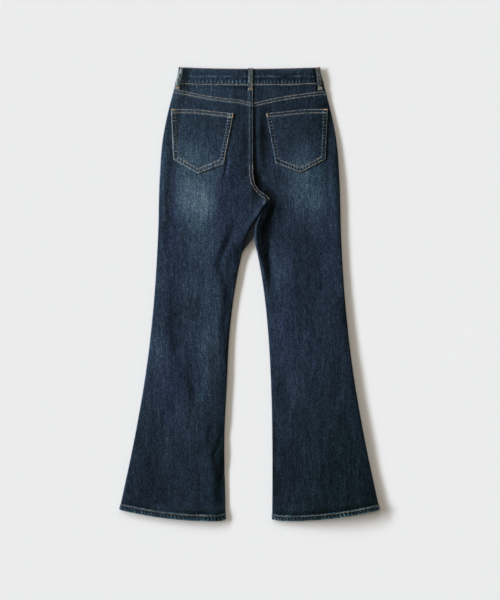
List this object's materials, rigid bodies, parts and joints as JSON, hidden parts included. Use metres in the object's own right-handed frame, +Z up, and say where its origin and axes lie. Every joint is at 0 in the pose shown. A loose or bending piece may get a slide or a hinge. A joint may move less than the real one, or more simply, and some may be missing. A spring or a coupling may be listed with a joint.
{
  "type": "flared bootcut stretch-denim jeans laid flat, back side up",
  "caption": "Flared denim jeans laid flat with the back up: elastic back waistband, V yoke, patch pockets, belt loops and turned-up hems.",
  "frame": {"origin": "centre of the flat-laid garment's box, on the surface it lies on", "axes": "+Z up from the surface, +Y towards the waist, +X towards the wearer's right side"},
  "size_m": [0.5984, 1.0433, 0.0105],
  "materials": {
    "denim": "matte indigo twill, faded at the seat",
    "band_denim": "matte indigo twill, gathered over elastic at the back",
    "pocket_denim": "matte indigo twill, lightly faded",
    "loop_denim": "matte indigo twill, worn light at the edges",
    "tan_thread": "tan and golden-brown topstitching thread",
    "tack_thread": "orange bar-tack thread"
  },
  "bodies": {
    "root": {"back_panel_left": "denim", "back_panel_right": "denim", "back_yoke_left": "denim", "back_yoke_right": "denim", "waistband_back": "band_denim", "back_pocket_left": "pocket_denim", "back_pocket_right": "pocket_denim", "belt_loop_center": "loop_denim", "belt_loop_left": "loop_denim", "belt_loop_right": "loop_denim", "front_panel_left": "denim", "front_panel_right": "denim", "waistband_front": "band_denim"}
  },
  "joints": []
}
